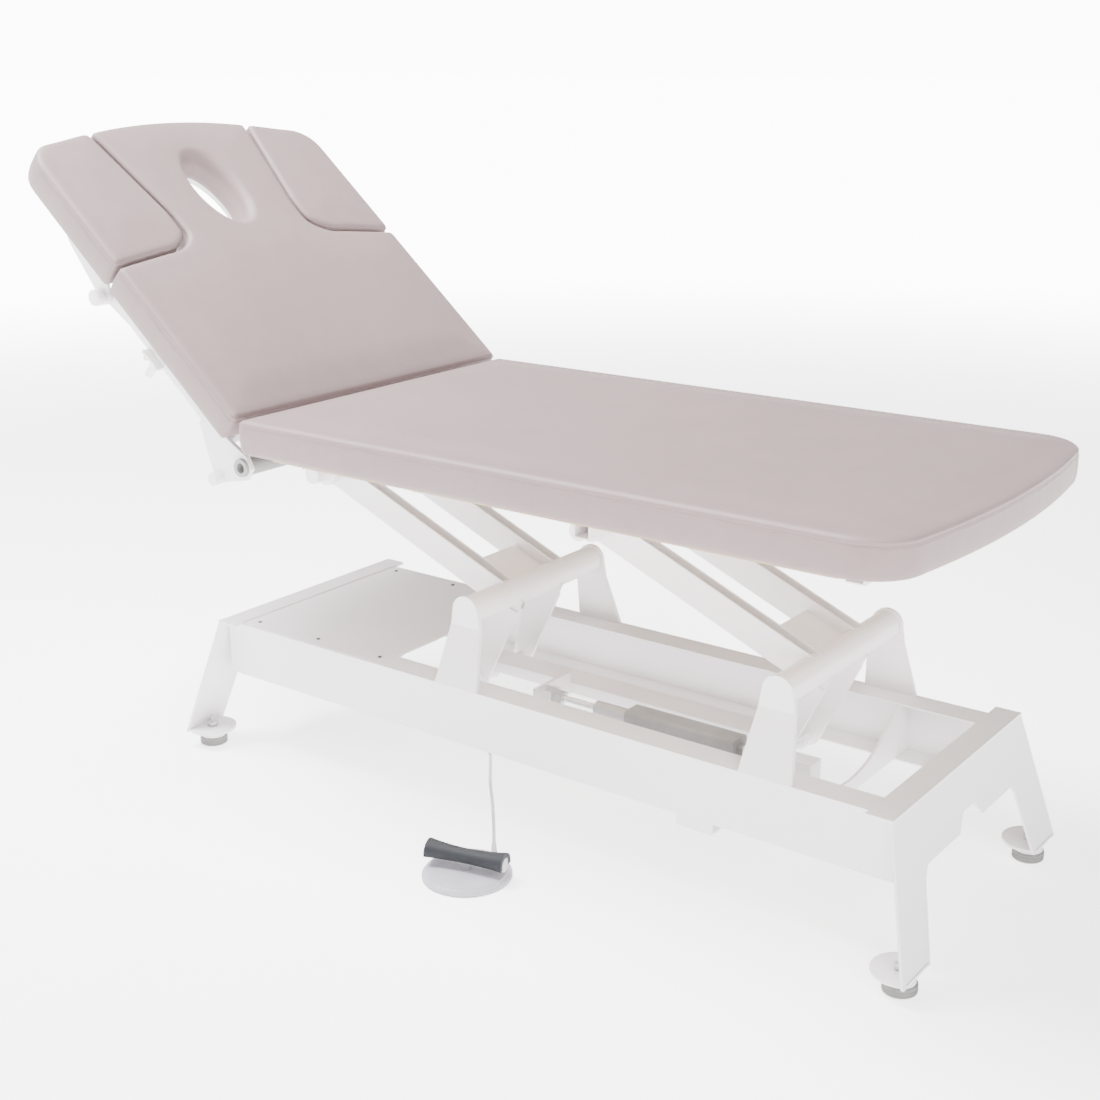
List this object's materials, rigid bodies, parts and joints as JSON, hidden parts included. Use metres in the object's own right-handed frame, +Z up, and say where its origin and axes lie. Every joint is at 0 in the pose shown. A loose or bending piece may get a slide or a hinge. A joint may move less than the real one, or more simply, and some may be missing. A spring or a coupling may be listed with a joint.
{
  "type": "facial treatment bed",
  "caption": "Electric height-adjustable facial treatment bed: padded leg section, tilting back section with face opening and drop-down side pads, folded steel base, foot switch.",
  "frame": {"origin": "on the floor, centred between the four levelling feet", "axes": "+X to the foot end, +Y to the far long side, +Z up"},
  "size_m": [1.8049, 0.778, 1.1511],
  "materials": {
    "upholstery": "soft grained coated fabric, semi matt",
    "board": "plywood board",
    "frame_paint": "off-white powder coat, fine texture",
    "steel": "plain steel",
    "chrome_rod": "polished rod",
    "actuator_grey": "grey housing",
    "foot_mix": "grey rubber pad under a white cap",
    "knob_white": "white moulded plastic",
    "switch_grey": "light grey moulded plastic",
    "rocker_dark": "dark charcoal soft plastic",
    "cord_grey": "light grey cord jacket",
    "box_grey": "dark moulded box"
  },
  "bodies": {
    "base": {"near_rail": "frame_paint", "far_rail": "frame_paint", "head_end_frame": "frame_paint", "foot_end_frame": "frame_paint", "cover_plate": "frame_paint", "cover_screws": "steel", "control_box": "box_grey", "head_tower_near": "frame_paint", "head_tower_far": "frame_paint", "foot_tower_near": "frame_paint", "foot_tower_far": "frame_paint", "journal_pins": "steel", "cross_member": "frame_paint", "rail_tab": "frame_paint", "cord_gland": "box_grey", "cord_boot": "cord_grey", "switch_cord": "cord_grey", "switch_base": "switch_grey"},
    "head_lift": {"head_lift_tube": "frame_paint", "head_arm_near": "frame_paint", "head_arm_far": "frame_paint", "head_web": "frame_paint", "head_levers": "frame_paint", "head_upper_tube": "frame_paint"},
    "foot_lift": {"foot_lift_tube": "frame_paint", "foot_arm_near": "frame_paint", "foot_arm_far": "frame_paint", "foot_web": "frame_paint", "foot_levers": "frame_paint", "foot_upper_tube": "frame_paint"},
    "link": {"link_bar": "frame_paint"},
    "actuator_front": {"actuator_clevis": "actuator_grey", "actuator_rod": "chrome_rod"},
    "actuator_body": {"actuator_tube": "actuator_grey", "actuator_housing": "actuator_grey"},
    "top": {"top_frame": "frame_paint", "pivot_lugs": "frame_paint", "hinge_axle": "steel", "leg_board": "board", "leg_cushion": "upholstery", "spring_cylinder": "steel"},
    "spring_rod_body": {"spring_rod": "steel"},
    "back": {"back_frame": "frame_paint", "hinge_cheeks": "frame_paint", "hinge_bolts": "knob_white", "back_handle": "knob_white", "back_board": "board", "back_cushion": "upholstery"},
    "near_rest": {"near_pad_arm": "frame_paint", "near_pad": "upholstery"},
    "far_rest": {"far_pad_arm": "frame_paint", "far_pad": "upholstery"},
    "near_clamp": {"near_pad_knob": "knob_white"},
    "far_clamp": {"far_pad_knob": "knob_white"},
    "rocker": {"rocker_core": "switch_grey", "rocker_cover": "rocker_dark"},
    "leveller_1": {"foot_1": "foot_mix"},
    "leveller_2": {"foot_2": "foot_mix"},
    "leveller_3": {"foot_3": "foot_mix"},
    "leveller_4": {"foot_4": "foot_mix"}
  },
  "joints": [
    {"name": "lift", "type": "hinge", "parent": "base", "child": "head_lift", "pos_m": [-0.124, 0, 0.376], "axis": [0, 1, 0], "range_deg": [-22.6, 37.4]},
    {"name": "foot_lift_follow", "type": "hinge", "parent": "base", "child": "foot_lift", "pos_m": [0.474, 0, 0.376], "axis": [0, 1, 0], "range_deg": [-23.6, 38.4]},
    {"name": "top_level", "type": "hinge", "parent": "head_lift", "child": "top", "pos_m": [-0.5219, 0, 0.54163], "axis": [0, 1, 0], "range_deg": [-38.4, 23.6]},
    {"name": "link_follow", "type": "hinge", "parent": "head_lift", "child": "link", "pos_m": [-0.19548, 0, 0.20428], "axis": [0, 1, 0], "range_deg": [-38.4, 23.6]},
    {"name": "actuator_swing", "type": "hinge", "parent": "link", "child": "actuator_front", "pos_m": [0.002, -0.112, 0.232], "axis": [0, 1, 0], "range_deg": [-8, 14]},
    {"name": "actuator_stroke", "type": "slide", "parent": "actuator_front", "child": "actuator_body", "axis": [1, 0, 0], "range_m": [-0.06597, 0.10721]},
    {"name": "back_tilt", "type": "hinge", "parent": "top", "child": "back", "pos_m": [-0.5005, 0, 0.598], "axis": [0, 1, 0], "range_deg": [-40.5, 0]},
    {"name": "spring_stroke", "type": "slide", "parent": "top", "child": "spring_rod_body", "axis": [1, 0, 0], "range_m": [-0.002, 0.05184]},
    {"name": "near_rest_drop", "type": "hinge", "parent": "back", "child": "near_rest", "pos_m": [-0.83294, 0, 0.86335], "axis": [0, 1, 0], "range_deg": [-55, 0]},
    {"name": "far_rest_drop", "type": "hinge", "parent": "back", "child": "far_rest", "pos_m": [-0.83294, 0, 0.86335], "axis": [0, 1, 0], "range_deg": [-55, 0]},
    {"name": "near_knob_turn", "type": "hinge", "parent": "back", "child": "near_clamp", "pos_m": [-0.83294, -0.3366, 0.86335], "axis": [0, 1, 0], "range_deg": [-180, 180]},
    {"name": "far_knob_turn", "type": "hinge", "parent": "back", "child": "far_clamp", "pos_m": [-0.83294, 0.3366, 0.86335], "axis": [0, 1, 0], "range_deg": [-180, 180]},
    {"name": "pedal_rock", "type": "hinge", "parent": "base", "child": "rocker", "pos_m": [0.012, -0.354, 0.032], "axis": [-0.2419, 0.9703, 0], "range_deg": [-5, 5], "stiffness_Nm_per_rad": 2},
    {"name": "foot_1_turn", "type": "hinge", "parent": "base", "child": "leveller_1", "pos_m": [-0.72, -0.243, 0.04], "axis": [0, 0, 1], "range_deg": [-180, 180]},
    {"name": "foot_2_turn", "type": "hinge", "parent": "base", "child": "leveller_2", "pos_m": [-0.72, 0.243, 0.04], "axis": [0, 0, 1], "range_deg": [-180, 180]},
    {"name": "foot_3_turn", "type": "hinge", "parent": "base", "child": "leveller_3", "pos_m": [0.72, -0.243, 0.04], "axis": [0, 0, 1], "range_deg": [-180, 180]},
    {"name": "foot_4_turn", "type": "hinge", "parent": "base", "child": "leveller_4", "pos_m": [0.72, 0.243, 0.04], "axis": [0, 0, 1], "range_deg": [-180, 180]}
  ],
  "couplings": [
    {"joint": "foot_lift_follow", "follows": "lift", "ratio": 1},
    {"joint": "top_level", "follows": "lift", "ratio": -1},
    {"joint": "link_follow", "follows": "lift", "ratio": -1},
    {"joint": "actuator_swing", "follows": "lift", "ratio": 0.19814},
    {"joint": "actuator_stroke", "follows": "lift", "m_per_rad": 0.15964},
    {"joint": "spring_stroke", "follows": "back_tilt", "m_per_rad": -0.07051}
  ]
}
